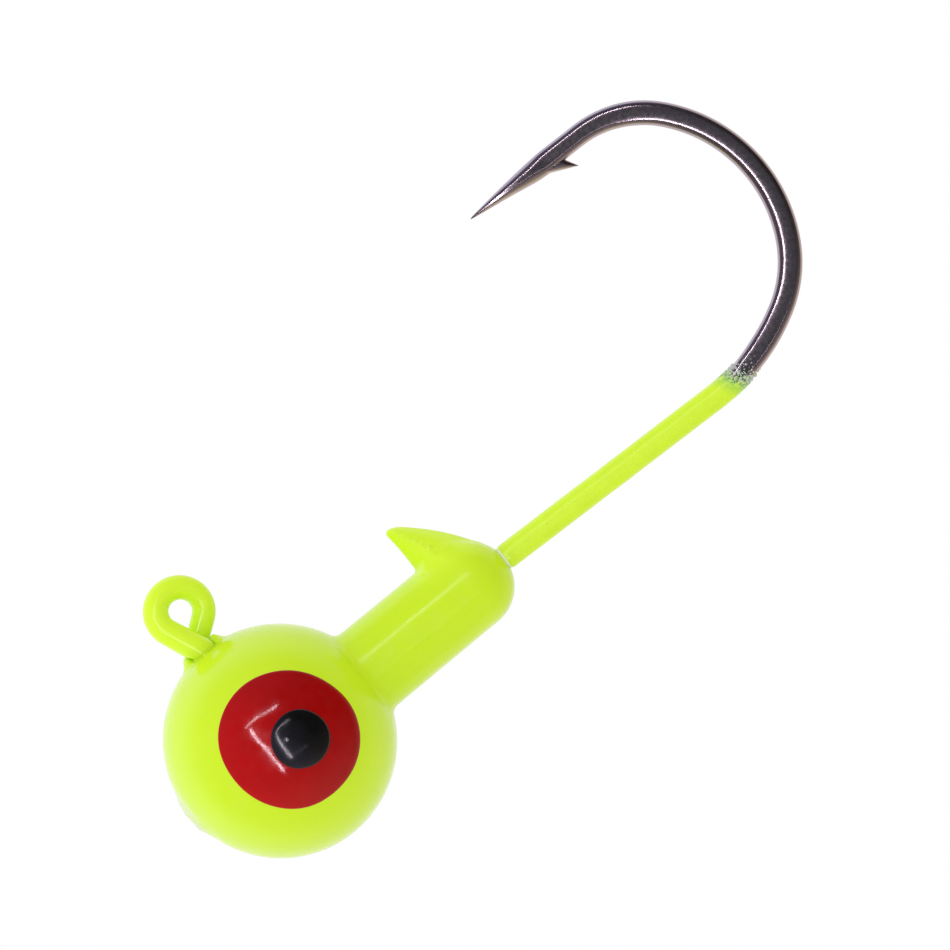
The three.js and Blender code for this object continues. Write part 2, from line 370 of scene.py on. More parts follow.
def wire_offsets(s, angle):
    """The bare wire: round, forged flat on both sides in the bend, and ground to a point."""
    to_point = np.maximum(MARK["point"] - s, 0)
    half, deep = ground_half(to_point)
    start, end = along_shank(FLAT_START_X), MARK["spear_start"]
    flat = lerp(NO_FLAT, FLAT_HALF, smoothstep(s, start, start + FLAT_RUN))
    flat = lerp(NO_FLAT, flat, smoothstep(to_point, *FLAT_END))
    spread = smoothstep(s, start + SPREAD_START[0], start + SPREAD_START[1])
    kept = 1 - smoothstep(s, end + SPREAD_END[0], end + SPREAD_END[1])
    wider = 1 + (FORGED_WIDER - 1) * spread * kept
    swell = SPEAR_SWELL * np.exp(-(((to_point - SWELL_FROM_POINT) / SWELL_RUN) ** 2))
    across = wider * half * np.cos(angle) + swell * np.maximum(np.cos(angle), 0) ** 2
    across = across + FORGED_INWARD * spread
    through = deep * np.sin(angle)
    pressed = smooth_min(np.abs(through), flat + 0 * through, FLAT_EDGE)
    return across, np.sign(through) * np.maximum(pressed, 0)


# ---------------------------------------------------------------- meshes


def mesh_object(name, points, faces, smooth=True):
    mesh = bpy.data.meshes.new(name)
    mesh.from_pydata([tuple(p) for p in points], [], faces)
    mesh.polygons.foreach_set("use_smooth", [smooth] * len(mesh.polygons))
    mesh.update()
    piece = bpy.data.objects.new(name, mesh)
    bpy.context.scene.collection.objects.link(piece)
    return piece


def tube_faces(rows, sides):
    """Quads of a closed tube, whose last two points are the middles of its ends."""
    faces = []
    for i in range(rows - 1):
        for j in range(sides):
            k = (j + 1) % sides
            faces.append((i * sides + j, i * sides + k, (i + 1) * sides + k, (i + 1) * sides + j))
    first, last = rows * sides, rows * sides + 1
    end = (rows - 1) * sides
    for j in range(sides):
        k = (j + 1) % sides
        faces.append((first, k, j))
        faces.append((last, end + j, end + k))
    return faces


def tube(name, grid):
    rows, sides = grid.shape[:2]
    ends = [grid[0].mean(axis=0), grid[-1].mean(axis=0)]
    points = np.vstack([grid.reshape(-1, 3), ends])
    faces = [face[::-1] for face in tube_faces(rows, sides)]
    return mesh_object(name, points, faces)


def mesh_arrays(mesh):
    points = np.zeros(len(mesh.vertices) * 3)
    mesh.vertices.foreach_get("co", points)
    edges = np.zeros(len(mesh.edges) * 2, int)
    mesh.edges.foreach_get("vertices", edges)
    return points.reshape(-1, 3), edges.reshape(-1, 2)


def applied(piece):
    """The piece's mesh with its modifiers applied, and the piece kept."""
    graph = bpy.context.evaluated_depsgraph_get()
    made = bpy.data.meshes.new_from_object(piece.evaluated_get(graph))
    piece.modifiers.clear()
    piece.data = made
    return made


def joined(name, pieces):
    bpy.ops.object.select_all(action="DESELECT")
    for piece in pieces:
        piece.select_set(True)
    bpy.context.view_layer.objects.active = pieces[0]
    bpy.ops.object.join()
    pieces[0].name = name
    return pieces[0]


def relaxed(points, edges, passes):
    """Points moved halfway to the mean of their neighbours, so that the mesh is even."""
    count = np.bincount(edges.ravel(), minlength=len(points))[:, None]
    ends = np.concatenate([edges[:, 0], edges[:, 1]])
    starts = np.concatenate([edges[:, 1], edges[:, 0]])
    for _ in range(passes):
        total = [np.bincount(ends, column[starts], len(points)) for column in points.T]
        points = lerp(points, np.stack(total, axis=-1) / np.maximum(count, 1), 0.5)
    return points


def drawn_to(field, points, passes, step=0.004, most=0.08):
    """Points moved onto the surface where the field is zero."""
    for _ in range(passes):
        value = field(points)
        slope = np.stack(
            [field(points + step * axis) - field(points - step * axis) for axis in np.eye(3)],
            axis=-1,
        ) / (2 * step)
        size = np.maximum((slope**2).sum(axis=-1), 0.05)
        move = np.clip(value / size, -most, most)
        points = points - move[:, None] * slope
    return points


def refined(mesh, is_fine):
    """Halves the mesh's squares where is_fine(corner) is true."""
    work = bmesh.new()
    work.from_mesh(mesh)
    fine = [e for e in work.edges if all(is_fine(v.co) for v in e.verts)]
    bmesh.ops.subdivide_edges(work, edges=fine, cuts=1, use_grid_fill=True)
    work.to_mesh(mesh)
    work.free()


def finish_mesh(piece, points):
    """Moves the mesh's points into the frame, and shades it smooth."""
    piece.data.vertices.foreach_set("co", placed(points).ravel())
    piece.data.polygons.foreach_set("use_smooth", [True] * len(piece.data.polygons))
    piece.data.update()
    return piece


# ---------------------------------------------------------------- the painted head

# The painted part of the eye wire ends inside the ball. FAR stands for no wire near by.
RING_END = MARK["elbow_start"] - 0.8
RING_LINE = centre(np.linspace(0, RING_END, 150))
RING_LOW_Z = 3.6
FAR = 9.0


def dot_outline(angle, wobble):
    """A dab isn't quite round: its radius as a share, at each angle."""
    return 1 + sum(size * np.cos(n * angle + phase) for n, size, phase in wobble)


def collar_field(p):
    """Distance from a slightly tapered, tilted cylinder with a round end."""
    x = p[:, 0] - COLLAR_END_X
    z = p[:, 2] - SHANK_Z
    along = x * math.cos(COLLAR_TILT) + z * math.sin(COLLAR_TILT)
    up = z * math.cos(COLLAR_TILT) - x * math.sin(COLLAR_TILT)
    beyond = np.maximum(along + COLLAR_R, 0)
    radius = COLLAR_R + (COLLAR_ROOT_R - COLLAR_R) * np.clip(-along / COLLAR_END_X, 0, 1)
    return np.maximum(np.sqrt(beyond**2 + p[:, 1] ** 2 + up**2) - radius, 2 - p[:, 0])


def keeper_back(climb):
    """X of the keeper's curved back, at each height above KEEPER_BACK_Z."""
    return KEEPER_BACK_X - KEEPER_BACK_SLOPE * climb - KEEPER_BACK_CURVE * np.maximum(climb, 0) ** 2


def keeper_field(p):
    """Distance from a blade that narrows to its tip, and is ridged along its middle."""
    x, y, z = p.T
    root = SHANK_Z + COLLAR_R
    rise = np.clip((z - root) / (KEEPER_TIP_Z - root), 0, 1.2)
    front = KEEPER_FRONT_X - KEEPER_LEAN * rise**3
    back = keeper_back(np.maximum(z - KEEPER_BACK_Z, -0.5))
    half = np.maximum((back - front) / 2, 0.05)
    width = lerp(KEEPER_ROOT_HALF, KEEPER_TIP_HALF, rise)
    around = np.abs((x - (front + back) / 2) / half) ** KEEPER_RIDGE
    around = (around + np.abs(y / width) ** KEEPER_RIDGE) ** (1 / KEEPER_RIDGE)
    sides = (around - 1) * np.minimum(half, width)
    sides = np.maximum(sides, SHANK_Z + KEEPER_SUNK - z)
    return smooth_max(sides, z - KEEPER_TIP_Z, KEEPER_TIP_ROUND)


def mound_field(p):
    """Distance from the lobes of lead, run together."""
    found = None
    for middle, half in LOBES:
        offset = (p - np.array(middle)) / np.array(half)
        reach = np.linalg.norm(offset, axis=1)
        lobe = (reach - 1) * reach / np.maximum(np.linalg.norm(offset / half, axis=1), 1e-6)
        found = lobe if found is None else smooth_min(found, lobe, LOBE_FILLET)
    return found


def gate_rise(p):
    """How far the trimmed gate stands out from the nose: low, round and a little torn."""
    x, y, z = p.T
    out = np.hypot(y * 1.1, z - GATE_Z) * dot_outline(np.arctan2(z - GATE_Z, y), GATE_WOBBLE)
    tear = 0.02 * np.sin(5.3 * y + 1.1) * np.cos(6.9 * z) + 0.015 * np.sin(13.1 * y - 9.3 * z)
    return (GATE_RISE + tear) * smoothstep(-out, -GATE_R[1], -GATE_R[0]) * (x < 0)


def ring_fields(p):
    """Distances from the painted eye wire: its tucked half, and its leg half."""
    near = p[:, 2] > RING_LOW_Z
    found = np.full((2, len(p)), FAR)
    middle = len(RING_LINE) // 2
    thick = np.interp(np.linspace(0, 1, len(RING_LINE)), *zip(*EYE_PAINT_R))
    for row, part in zip(found, (slice(0, middle + 1), slice(middle, None))):
        line, radius = RING_LINE[part], thick[part]
        best = np.full(near.sum(), FAR)
        for a, b, r_a, r_b in zip(line[:-1], line[1:], radius[:-1], radius[1:]):
            offset = p[near] - a
            t = np.clip((offset @ (b - a)) / ((b - a) @ (b - a)), 0, 1)
            away = np.linalg.norm(offset - t[:, None] * (b - a), axis=1)
            best = np.minimum(best, away - lerp(r_a, r_b, t))
        row[near] = best
    return found


def bare_field(p):
    """The head without the line tie: ball, collar, keeper and parting line."""
    stretch = np.where(p[:, 0] < 0, 1 / NOSE_FLAT, 1)
    ball = np.hypot(p[:, 0] * stretch, np.hypot(p[:, 1], p[:, 2])) - BALL_R - gate_rise(p)
    body = smooth_min(ball, collar_field(p), COLLAR_FILLET)
    blend = lerp(*KEEPER_FILLET, smoothstep(np.abs(p[:, 1]), *KEEPER_FILLET_Y))
    body = smooth_min(body, keeper_field(p), blend)
    body = body - SEAM_HEIGHT * np.exp(-((p[:, 1] / SEAM_HALF) ** 2))
    return smooth_min(body, mound_field(p), BALL_FILLET)


def head_field(p):
    """The whole painted head: the line tie's tucked end and its leg run into the body."""
    tucked, leg = ring_fields(p)
    rest = smooth_min(bare_field(p), tucked, TUCK_FILLET)
    (low, high), (rise, fall) = CREASE_Z, CREASE_FADE
    here = smoothstep(p[:, 2], low, low + rise) * (1 - smoothstep(p[:, 2], high - fall, high))
    crease = CREASE_DEPTH * here * np.exp(-(((rest - leg) / CREASE_HALF) ** 2))
    return smooth_min(rest, leg, LEG_FILLET) + crease


def ball_blank(radius, at):
    """A closed round blank to remesh: rings of points from pole to pole."""
    rows, sides = 24, 32
    polar = np.linspace(0.02, math.pi - 0.02, rows)[:, None]
    turn = np.linspace(0, 2 * math.pi, sides, endpoint=False)[None, :]
    grid = np.stack(
        [np.sin(polar) * np.cos(turn), np.sin(polar) * np.sin(turn), np.cos(polar) + 0 * turn],
        axis=-1,
    )
    return tube("blank", grid * radius + np.array(at))


def head_blanks():
    """Rough closed blanks that together fill the head."""
    blanks = [ball_blank(BALL_R, (0, 0, 0))]
    for x in np.arange(4.6, COLLAR_END_X - COLLAR_R + 0.05, 0.5):
        lift = SHANK_Z - (COLLAR_END_X - x) * math.sin(COLLAR_TILT)
        blanks.append(ball_blank(COLLAR_R, (x, 0, lift)))
    for z in np.arange(2.2, KEEPER_TIP_Z - 0.2, 0.3):
        back = keeper_back(max(0.0, z - KEEPER_BACK_Z))
        for x in np.arange(KEEPER_FRONT_X + 0.25, back - 0.2, 0.3):
            blanks.append(ball_blank(0.32, (x, 0, z)))
    for middle, half in LOBES:
        blanks.append(ball_blank(min(half), middle))
    return blanks


def skin(name, blanks, voxel, field, is_fine):
    """Blanks remeshed as one skin, then drawn onto the surface where the field is zero."""
    piece = joined(name, blanks)
    remesh = piece.modifiers.new("skin", "REMESH")
    remesh.mode = "VOXEL"
    remesh.voxel_size = voxel
    mesh = applied(piece)
    refined(mesh, is_fine)
    points, edges = mesh_arrays(mesh)
    for _ in range(3):
        points = drawn_to(field, relaxed(points, edges, 3), 3)
    points = drawn_to(field, relaxed(points, edges, 1), 2)
    return finish_mesh(piece, points)


def is_small_shape(corner):
    """Round the line tie, and on the keeper."""
    return corner.z > 4.4 or (corner.x > KEEPER_FRONT_X - 0.6 and corner.z > KEEPER_BACK_Z - 0.4)


def make_head_paint():
    """The painted head and line tie, as one skin."""
    reach = np.linspace(0, RING_END, 80)
    ring = tube("blank", swept(reach, 16, round_offsets(EYE_PAINT_R[0][1])))
    return skin("head_paint", head_blanks() + [ring], 0.1, head_field, is_small_shape)


def make_head_core():
    """The lead, a film's thickness under the paint."""
    inner = lambda p: bare_field(p) + CORE_DEPTH
    return skin("head_lead", head_blanks(), 0.25, inner, lambda corner: False)


# ---------------------------------------------------------------- hook, shank paint and dots


def barb_grid():
    """Rings of points along a thin tongue that curls off the spear and ends in a point."""
    rows, sides = 26, 28
    angle = np.linspace(0, 2 * math.pi, sides, endpoint=False)
    start, heel, tip = (np.array(p) for p in (BARB_START, BARB_HEEL, BARB_TIP))
    grid = []
    for t in np.linspace(0, 1, rows):
        lower = lerp(start, tip, t)
        upper = lerp(lerp(start + np.array([0.1, 0.3]), heel, min(1.0, 2.2 * t)), tip, t**1.7)
        middle, spread = (lower + upper) / 2, (upper - lower) / 2
        half = BARB_HALF * (1 - t**2.2) + 0.012
        across = np.cos(angle)
        ring = middle[None, :] + across[:, None] * spread[None, :]
        grid.append(np.stack([ring[:, 0], half * np.sin(angle), ring[:, 1]], axis=-1))
    return np.array(grid)


def bare_distances():
    """Rings of points along the wire: few where paint hides it, many where it shows."""
    tip, nearest = 1.0, 0.004
    hidden = np.arange(0, along_shank(FRAY_X[0]), COARSE_STEP)
    shown = np.arange(along_shank(FRAY_X[0]), MARK["point"] - tip, WIRE_STEP)
    ground = MARK["point"] - np.geomspace(tip, nearest, 60)
    return np.concatenate([hidden, shown, ground])


def make_hook():
    """The bare wire with its barb, and sharp shading where the barb was cut."""
    wire = tube("hook_wire", swept(bare_distances(), WIRE_SIDES, wire_offsets))
    barb = tube("barb_blank", barb_grid())
    cut = wire.modifiers.new("barb", "BOOLEAN")
    cut.operation, cut.solver, cut.object = "UNION", "EXACT", barb
    mesh = applied(wire)
    bpy.data.objects.remove(barb)
    points, _ = mesh_arrays(mesh)
    finish_mesh(wire, points)
    mesh.set_sharp_from_angle(angle=math.radians(42))
    return wire


def paint_cover(points):
    """Well above 0 where the shank's film is whole, below 0 where it has flaked off the wire."""
    x = points[:, 0] + FRAY_SLANT * (points[:, 2] - lerp(0.4, 0.8, points[:, 0] - BEND_X - 0.5))
    fray = np.clip((x - FRAY_X[0]) / (FRAY_X[1] - FRAY_X[0]), 0, 1.2)
    patches = ripple(points, 0.12, 3) + 1.3 * ripple(points, 0.07, 4)
    return 0.7 - 2.1 * fray + np.clip(fray * 5, 0, 1) * patches


def film_share(cover):
    """The film's thickness as a share of the whole film's, dipping below 0 where it flaked."""
    return smoothstep(cover, -0.1, 0.5) - 0.3 * smoothstep(-cover, -0.05, 0.1)


def make_shank_paint():
    """The film on the shank. Where it has flaked, its skin dips below the wire's surface."""
    fine_from, fine_to = along_shank(FRAY_X[0]) - 0.2, along_shank(FRAY_X[1]) + 0.3
    whole = np.arange(along_shank(PAINT_START_X), fine_from, PLAIN_STEP)
    frayed = np.arange(fine_from, fine_to, FRAY_STEP)
    distance = np.concatenate([whole, frayed])
    wire = swept(distance, FILM_SIDES, wire_offsets)
    share = film_share(paint_cover(wire.reshape(-1, 3))).reshape(wire.shape[:2])
    lumps = ripple(wire.reshape(-1, 3), 0.9, 5).reshape(wire.shape[:2])
    film = (SHANK_PAINT_R - WIRE_R) * share + FILM_LUMPS * lumps * (share > 0.9)
    crack = along_shank(CRACK_X)
    full = smoothstep(distance, crack - CRACK_EDGE[0], crack + CRACK_EDGE[1])
    film = film * lerp(CRACK_THIN, 1, full[:, None])
    outward = wire - centre(distance)[:, None]
    outward /= np.linalg.norm(outward, axis=-1, keepdims=True)
    piece = tube("shank_paint", wire + outward * film[..., None])
    points, _ = mesh_arrays(piece.data)
    return finish_mesh(piece, points)


def make_dot(name, aim, side, radius, seat, thick, dome_r, wobble, swing, seed, nib=None):
    """A drop of enamel on the ball: a sunk base, a rounded edge and a slightly wavy top."""
    outward = Vector((aim[0], side * math.sqrt(1 - aim[0] ** 2 - aim[1] ** 2), aim[1]))
    across = Vector((0, 0, 1)).cross(outward).normalized()
    up = outward.cross(across)
    angle = np.linspace(0, 2 * math.pi, DOT_SIDES, endpoint=False)
    outline = radius * dot_outline(angle, wobble)
    middle, rim = np.linspace(0.03, 0.8, 22), 1 - np.geomspace(0.18, 0.0008, 20)
    share = np.concatenate([middle, rim])
    bulge = radius**2 / 2 * (1 / dome_r - 1 / seat)
    rings = []
    for top in (True, False):
        for t in share if top else share[::-1]:
            reach = np.arcsin(np.minimum(outline * t / seat, 0.99))
            lift = thick * math.sqrt(1 - t**14) + bulge * (1 - t**2) if top else -DOT_SUNK
            level = seat + lift
            flat = np.sin(reach) * level
            rings.append(
                np.outer(np.cos(angle) * flat, across)
                + np.outer(np.sin(angle) * flat, up)
                + np.outer(np.cos(reach) * level, outward)
            )
    grid = np.array(rings)
    top_rows = len(share)
    top = grid[:top_rows].reshape(-1, 3)
    wave = swing * ripple(top, 1.1, seed) + 0.0012 * ripple(top, 0.3, seed + 1)
    if nib:
        u, v, height, size = nib
        du, dv = (top @ np.array(axis) - place for axis, place in ((across, u), (up, v)))
        wave = wave + height * np.exp(-(du**2 + dv**2) / size**2)
    fade = np.repeat(1 - share**6, DOT_SIDES)
    grid[:top_rows] = (top * (1 + (wave * fade / seat)[:, None])).reshape(top_rows, DOT_SIDES, 3)
    piece = tube(name, grid)
    points, _ = mesh_arrays(piece.data)
    return finish_mesh(piece, points)


# ---------------------------------------------------------------- materials


class Graph:
    """Short ways to add and join nodes in a node tree."""

    def __init__(self, tree):
        self.tree = tree
        self.tree.nodes.clear()

    def node(self, kind, **settings):
        made = self.tree.nodes.new(kind)
        for key, value in settings.items():
            setattr(made, key, value)
        return made

    def put(self, value, socket):
        if isinstance(value, bpy.types.NodeSocket):
            self.tree.links.new(value, socket)
        else:
            socket.default_value = value

    def math(self, operation, *values):
        made = self.node("ShaderNodeMath", operation=operation)
        for value, socket in zip(values, made.inputs):
            self.put(value, socket)
        return made.outputs[0]

    def ranged(self, value, low, high, to_low=0.0, to_high=1.0):
        made = self.node("ShaderNodeMapRange", interpolation_type="SMOOTHSTEP")
        self.put(value, made.inputs["Value"])
        limits = (("From Min", low), ("From Max", high), ("To Min", to_low), ("To Max", to_high))
        for key, number in limits:
            self.put(number, made.inputs[key])
        return made.outputs["Result"]

    def mix(self, share, first, second, blend="MIX"):
        made = self.node("ShaderNodeMix", data_type="RGBA", blend_type=blend)
        self.put(share, made.inputs["Factor"])
        sockets = [i for i in made.inputs if i.type == "RGBA"]
        for value, socket in zip((first, second), sockets):
            self.put(value if isinstance(value, bpy.types.NodeSocket) else (*value, 1), socket)
        return next(o for o in made.outputs if o.type == "RGBA")


class Surface(Graph):
    """A material under construction: its nodes, and one principled shader."""

    def __init__(self, name):
        self.material = bpy.data.materials.new(name)
        self.material.use_nodes = True
        super().__init__(self.material.node_tree)
        self.shader = self.node("ShaderNodeBsdfPrincipled")
        out = self.node("ShaderNodeOutputMaterial")
        self.put(self.shader.outputs[0], out.inputs["Surface"])
        coordinates = self.node("ShaderNodeTexCoord").outputs["Object"]
        self.place = self.mapped(coordinates)

    def mapped(self, coordinates):
        """Coordinates in millimetres from the ball's centre."""
        made = self.node("ShaderNodeMapping")
        self.put(coordinates, made.inputs["Vector"])
        made.inputs["Location"].default_value = [-v / MM for v in BALL]
        made.inputs["Scale"].default_value = [1 / MM] * 3
        return made.outputs["Vector"]

    def noise(self, size, detail=2.0, roughness=0.5, vector=None):
        made = self.node("ShaderNodeTexNoise")
        self.put(vector or self.place, made.inputs["Vector"])
        made.inputs["Scale"].default_value = 1 / size
        made.inputs["Detail"].default_value = detail
        made.inputs["Roughness"].default_value = roughness
        return made.outputs["Fac"]

    def axis(self, letter):
        made = self.node("ShaderNodeSeparateXYZ")
        self.put(self.place, made.inputs["Vector"])
        return made.outputs[letter]

    def specks(self, spacing, size, share):
        """1 on sparse round specks: about that share of the cells has one."""
        made = self.node("ShaderNodeTexVoronoi")
        self.put(self.place, made.inputs["Vector"])
        made.inputs["Scale"].default_value = 1 / spacing
        near = self.ranged(made.outputs["Distance"], size / spacing, 0.5 * size / spacing)
        red = self.node("ShaderNodeSeparateColor")
        self.put(made.outputs["Color"], red.inputs["Color"])
        chosen = self.math("GREATER_THAN", red.outputs["Red"], 1 - share)
        return self.math("MULTIPLY", near, chosen)

    def bump(self, height, amount, normal=None):
        """A relief of that height, in millimetres, where height goes from 0 to 1."""
        made = self.node("ShaderNodeBump")
        made.inputs["Distance"].default_value = amount * MM
        self.put(height, made.inputs["Height"])
        if normal:
            self.put(normal, made.inputs["Normal"])
        return made.outputs["Normal"]

    def set(self, **values):
        for key, value in values.items():
            socket = self.shader.inputs[key.replace("_", " ")]
            is_colour = isinstance(value, tuple) and len(value) == 3
            self.put((*value, 1) if is_colour else value, socket)


# Colours are linear. Places are limits between which a colour comes in.
CHARTREUSE = (0.62, 0.86, 0.018)
CHARTREUSE_THICK = (0.59, 0.835, 0.014)
# A paler chartreuse: random thinner film on the shank, and painted light on the line tie and the keeper.
CHARTREUSE_THIN_AND_LIT = (0.70, 0.96, 0.030)
BASE_COAT = (0.86, 0.90, 0.66)
THIN_EDGE = (0.30, 0.62, 0.10)
DUST = (0.60, 0.66, 0.60)
NOSE_FACE_PALE = (0.66, 0.76, 0.42)
SPECK = (0.42, 0.36, 0.01)
# Lit and shaded copies of each enamel: painted light and painted shade across the eye. The black's lit
# copy is a bluish painted sheen.
RED_LIT = (0.46, 0.0042, 0.0054)
RED_SHADED = (0.31, 0.0014, 0.0014)
BLACK_PAINTED_SHEEN = (0.017, 0.017, 0.026)
BLACK_SHADED = (0.004, 0.004, 0.004)
NICKEL = (0.42, 0.37, 0.40)
NICKEL_CLOUD = (0.52, 0.46, 0.50)
NICKEL_EDGE_TINT = (0.95, 0.9, 0.92)
LEAD = (0.17, 0.18, 0.2)
LEAD_CLOUD = (0.3, 0.31, 0.33)
FLOOR = (0.86, 0.86, 0.85)
FLOOR_CLOUD = (0.9, 0.9, 0.89)
# Where the line tie and the keeper are painted lighter, as painted light where the light falls on them.
LIT_TIE_Z = (5.0, 5.8)
LIT_HORN_X = (8.6, 9.6)
LIT_HORN_Z = (1.0, 2.6)
GATE_FACE_X = (-4.9, -5.02)
GLOSS_IOR = 1.5


def chartreuse_paint(name):
    """Glossy powder paint: faint orange peel, thicker and thinner spots, and stray specks. The line tie
    and the keeper are painted lighter, as painted light.
    """
    s = Surface(name)
    colour = s.mix(s.noise(1.7, 3.0), CHARTREUSE_THICK, CHARTREUSE)
    colour = s.mix(s.math("MULTIPLY", s.specks(1.3, 0.045, 0.35), 0.55), colour, SPECK)
    x, z = s.axis("X"), s.axis("Z")
    # Painted light: the keeper and the top of the line tie are coloured lighter where the light falls.
    lit_horn = s.math("MULTIPLY", s.ranged(x, *LIT_HORN_X), s.ranged(z, *LIT_HORN_Z, 0.0, 0.85))
    painted_light = s.math("MAXIMUM", s.ranged(z, *LIT_TIE_Z), lit_horn)
    colour = s.mix(painted_light, colour, CHARTREUSE_THIN_AND_LIT)
    # The nose's face, past GATE_FACE_X, is coloured paler.
    nose_face = s.math("MULTIPLY", s.ranged(x, *GATE_FACE_X), 0.75)
    colour = s.mix(nose_face, colour, NOSE_FACE_PALE)
    peel = s.noise(0.6, 2.0)
    normal = s.bump(s.noise(0.17, 2.0), 0.0035, s.bump(peel, 0.008))
    rough = s.ranged(s.noise(0.8, 2.0), 0.3, 0.7, 0.17, 0.24)
    s.set(Base_Color=colour, Roughness=rough, Normal=normal)
    s.set(IOR=GLOSS_IOR)
    return s.material


def shank_film():
    """The same paint on the wire, with the pale base coat showing at the crack by the collar."""
    s = Surface("shank_chartreuse")
    colour = s.mix(s.noise(0.9, 3.0), CHARTREUSE, CHARTREUSE_THIN_AND_LIT)
    colour = s.mix(s.math("MULTIPLY", s.specks(0.7, 0.04, 0.3), 0.5), colour, SPECK)
    cracked = s.ranged(s.axis("X"), CRACK_X + 0.02, CRACK_X)
    colour = s.mix(cracked, colour, BASE_COAT)
    x = s.math("ADD", s.axis("X"), s.math("MULTIPLY", s.axis("Z"), FRAY_SLANT))
    begin, end = FRAY_X[0] - 0.3, FRAY_X[1]
    thinner = s.ranged(x, begin, lerp(begin, end, 0.5), 0.0, 0.9)
    colour = s.mix(s.math("MULTIPLY", thinner, s.ranged(s.noise(0.2, 3.0), 0.3, 0.5)), colour, THIN_EDGE)
    dusty = s.ranged(x, lerp(begin, end, 0.3), lerp(begin, end, 0.75))
    paler = s.math("MULTIPLY", dusty, s.ranged(s.noise(0.09, 3.0), 0.35, 0.5))
    colour = s.mix(paler, colour, DUST)
    normal = s.bump(s.noise(0.06, 3.0), 0.002, s.bump(s.noise(0.4, 2.0), 0.006))
    s.set(Base_Color=colour, Roughness=0.26, Normal=normal)
    s.set(IOR=GLOSS_IOR)
    return s.material


def enamel(name, colour, shaded, light_span, gloss):
    """Thick glossy enamel with painted light across it: lighter toward -X and painted shade toward +X, a
    touch uneven, with dust under the gloss.
    """
    s = Surface(name)
    uneven = s.math("MULTIPLY", s.noise(0.9, 3.0, 0.55), 0.6)
    # Painted light and painted shade: the tone goes from lit to shaded along X.
    across = s.math("ADD", s.ranged(s.axis("X"), *light_span, -0.3, 0.7), uneven)
    tone = s.mix(s.math("MINIMUM", s.math("MAXIMUM", across, 0.0), 1.0), colour, shaded)
    normal = s.bump(s.noise(0.55, 2.0), 0.0025, s.bump(s.noise(0.13, 2.0), 0.0014))
    rough = s.ranged(s.noise(0.5, 3.0), 0.3, 0.7, *gloss)
    s.set(Base_Color=tone, Roughness=rough, Normal=normal)
    s.set(IOR=GLOSS_IOR)
    return s.material


def black_nickel():
    """Dark plated wire, a little cloudy, with paint dust by the shank."""
    s = Surface("black_nickel")
    cloud = s.noise(0.35, 4.0)
    colour = s.mix(cloud, NICKEL, NICKEL_CLOUD)
    x, z = s.axis("X"), s.axis("Z")
    near = s.ranged(x, FRAY_X[1] + 1.1, FRAY_X[0] - 0.3)
    low = s.ranged(z, 5.0, 4.0)
    grains = s.noise(0.075, 3.0, 0.65)
    level = s.math("SUBTRACT", 0.74, s.math("MULTIPLY", near, 0.25))
    dusty = s.ranged(s.math("SUBTRACT", grains, level), -0.02, 0.03)
    dust = s.math("MULTIPLY", dusty, low)
    colour = s.mix(dust, colour, DUST)
    metal = s.math("SUBTRACT", 1.0, dust)
    rough = s.ranged(s.noise(0.2, 4.0), 0.3, 0.7, 0.14, 0.2)
    rough = s.math("ADD", rough, s.math("MULTIPLY", dust, 0.35))
    normal = s.bump(s.noise(0.06, 3.0), 0.0001, s.bump(s.noise(0.5, 2.0), 0.001))
    s.set(Base_Color=colour, Metallic=metal, Roughness=rough, Normal=normal)
    s.set(Specular_Tint=NICKEL_EDGE_TINT)
    return s.material


def cast_lead():
    """Dull grey lead with a chilled, slightly pitted skin. The paint hides it."""
    s = Surface("cast_lead")
    colour = s.mix(s.noise(0.8, 4.0), LEAD, LEAD_CLOUD)
    normal = s.bump(s.noise(0.15, 4.0), 0.02)
    s.set(Base_Color=colour, Roughness=s.ranged(s.noise(0.4), 0.3, 0.7, 0.45, 0.65), Normal=normal)
    s.set(Metallic=0.85)
    return s.material


def floor_white():
    """A plain pale table, very slightly cloudy."""
    s = Surface("floor_white")
    tone = s.mix(s.noise(30.0, 2.0), FLOOR, FLOOR_CLOUD)
    s.set(Base_Color=tone, Roughness=0.8)
    return s.material


# ---------------------------------------------------------------- camera, light and floor


def make_camera():
    """Frames the whole object at the roll, by its extent along the picture's own axes."""
    right = Vector((math.cos(ROLL), 0, -math.sin(ROLL)))
    up = Vector((math.sin(ROLL), 0, math.cos(ROLL)))
    points = np.vstack([[v.co[:] for v in o.data.vertices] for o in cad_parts.values()])
    spans = [(points @ np.array(axis)) for axis in (right, up)]
    middle = [(s.min() + s.max()) / 2 for s in spans]
    width = (spans[1].max() - spans[1].min()) / FRAME_FILL
    middle = [m + share * width for m, share in zip(middle, FRAME_SHIFT)]
    data = bpy.data.cameras.new("camera")
    data.lens, data.sensor_width = LENS, SENSOR
    distance = width * LENS / SENSOR
    data.clip_start, data.clip_end = distance / 20, distance * 20
    camera = bpy.data.objects.new("camera", data)
    bpy.context.scene.collection.objects.link(camera)
    back = Vector((0, -1, 0))
    turn = Matrix((right, up, back)).transposed()
    camera.matrix_world = turn.to_4x4()
    camera.location = right * middle[0] + up * middle[1] + back * distance
    bpy.context.scene.camera = camera


LAMP_TONE = (1.0, 0.88, 0.98)
STRIP = 0.014


def add_panel(name, at, size, power):
    """A flat lamp that faces the ball. It shows only as a highlight."""
    data = bpy.data.lights.new(name, "AREA")
    data.shape = "RECTANGLE"
    data.size, data.size_y = size
    data.energy, data.color = power, LAMP_TONE
    lamp = bpy.data.objects.new(name, data)
    bpy.context.scene.collection.objects.link(lamp)
    lamp.location = Vector(at) + BALL
    lamp.rotation_euler = (-Vector(at)).to_track_quat("-Z", "Y").to_euler()
    lamp.visible_camera = False
    lamp.visible_diffuse = False


